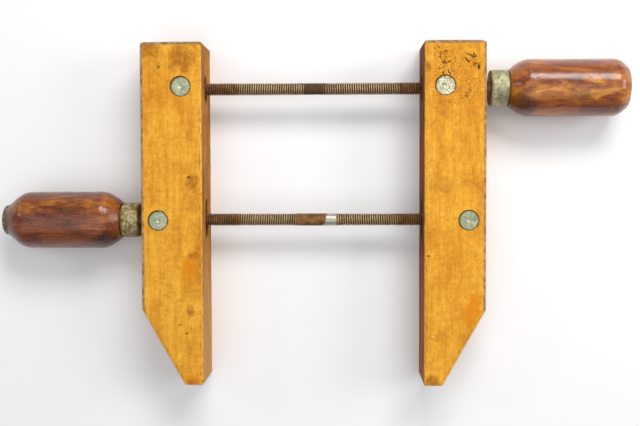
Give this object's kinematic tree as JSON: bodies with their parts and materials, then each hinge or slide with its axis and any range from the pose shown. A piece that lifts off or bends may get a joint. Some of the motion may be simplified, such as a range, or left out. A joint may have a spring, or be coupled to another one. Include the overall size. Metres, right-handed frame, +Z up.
{
  "type": "wooden hand screw clamp",
  "caption": "Wooden hand screw clamp that also presses small books: bevelled maple jaws on left-and-right threaded steel spindles, swivel nuts and turned handles.",
  "frame": {"origin": "on the surface that the clamp lies on, under the middle of the gap between the jaws and of the jaw length", "axes": "+X along the spindles towards the end handle, +Y from the jaw tips towards the square ends, +Z up through the thickness of the jaws"},
  "size_m": [0.473, 0.254, 0.0445],
  "materials": {
    "maple": "worn satin oil finish",
    "varnished_wood": "glossy reddish-brown varnish",
    "zinc_steel": "dull zinc plate with turning marks",
    "rusty_steel": "browned steel with bright crests",
    "ferrule_steel": "satin, tarnished and pitted",
    "dark_steel": "dark oxide"
  },
  "bodies": {
    "left_jaw": {"left_jaw": "maple"},
    "left_middle_nut": {"left_middle_nut": "zinc_steel"},
    "left_end_nut": {"left_end_nut": "zinc_steel"},
    "middle_washer": {"middle_washer": "dark_steel"},
    "middle_spindle": {"middle_spindle": "rusty_steel", "middle_handle": "varnished_wood", "middle_ferrule": "ferrule_steel"},
    "right_middle_nut": {"right_middle_nut": "zinc_steel"},
    "right_jaw": {"right_jaw": "maple"},
    "right_end_nut": {"right_end_nut": "zinc_steel"},
    "end_washer": {"end_washer": "dark_steel"},
    "end_ferrule": {"end_ferrule": "ferrule_steel"},
    "end_spindle": {"end_spindle": "rusty_steel", "end_handle": "varnished_wood"}
  },
  "joints": [
    {"name": "spindles_turned_together", "type": "hinge", "parent": "middle_washer", "child": "middle_spindle", "pos_m": [0, -0.0047, 0.02225], "axis": [1, 0, 0], "range_deg": [0, 15840]},
    {"name": "end_spindle_turned_alone", "type": "hinge", "parent": "end_washer", "child": "end_ferrule", "pos_m": [0, 0.0941, 0.02225], "axis": [1, 0, 0], "range_deg": [-900, 900]},
    {"name": "left_middle_nut_swivel", "type": "hinge", "parent": "left_jaw", "child": "left_middle_nut", "pos_m": [-0.1145, -0.0047, 0.02225], "axis": [0, 0, 1], "range_deg": [-2.49, 2.49]},
    {"name": "middle_spindle_travel", "type": "slide", "parent": "left_middle_nut", "child": "middle_washer", "axis": [1, 0, 0], "range_m": [-0.07568, 0]},
    {"name": "right_middle_nut_travel", "type": "slide", "parent": "middle_washer", "child": "right_middle_nut", "axis": [1, 0, 0], "range_m": [-0.07569, 0]},
    {"name": "right_jaw_swivel", "type": "hinge", "parent": "right_middle_nut", "child": "right_jaw", "pos_m": [0.1145, -0.0047, 0.02225], "axis": [0, 0, 1], "range_deg": [-2.51, 2.51]},
    {"name": "right_end_nut_swivel", "type": "hinge", "parent": "right_jaw", "child": "right_end_nut", "pos_m": [0.0972, 0.0941, 0.02225], "axis": [0, 0, 1], "range_deg": [-2.51, 2.51]},
    {"name": "left_end_nut_swivel", "type": "hinge", "parent": "left_jaw", "child": "left_end_nut", "pos_m": [-0.0972, 0.0941, 0.02225], "axis": [0, 0, 1], "range_deg": [-2.51, 2.51]},
    {"name": "end_spindle_shift", "type": "slide", "parent": "middle_washer", "child": "end_washer", "axis": [0, 1, 0], "range_m": [-0.00077, 0.00077]},
    {"name": "end_spindle_turned_with_middle", "type": "hinge", "parent": "end_ferrule", "child": "end_spindle", "pos_m": [0, 0.0941, 0.02225], "axis": [1, 0, 0], "range_deg": [0, 15840]}
  ],
  "couplings": [
    {"joint": "spindles_turned_together", "follows": "middle_spindle_travel", "rad_per_m": -3653},
    {"joint": "end_spindle_turned_with_middle", "follows": "middle_spindle_travel", "rad_per_m": -3653},
    {"joint": "right_middle_nut_travel", "follows": "middle_spindle_travel", "ratio": 1},
    {"joint": "end_spindle_turned_alone", "follows": "left_middle_nut_swivel", "ratio": 360.92},
    {"joint": "right_jaw_swivel", "follows": "left_middle_nut_swivel", "ratio": 1},
    {"joint": "right_end_nut_swivel", "follows": "left_middle_nut_swivel", "ratio": -1},
    {"joint": "left_end_nut_swivel", "follows": "left_middle_nut_swivel", "ratio": 1},
    {"joint": "end_spindle_shift", "follows": "left_middle_nut_swivel", "m_per_rad": -0.0173}
  ]
}
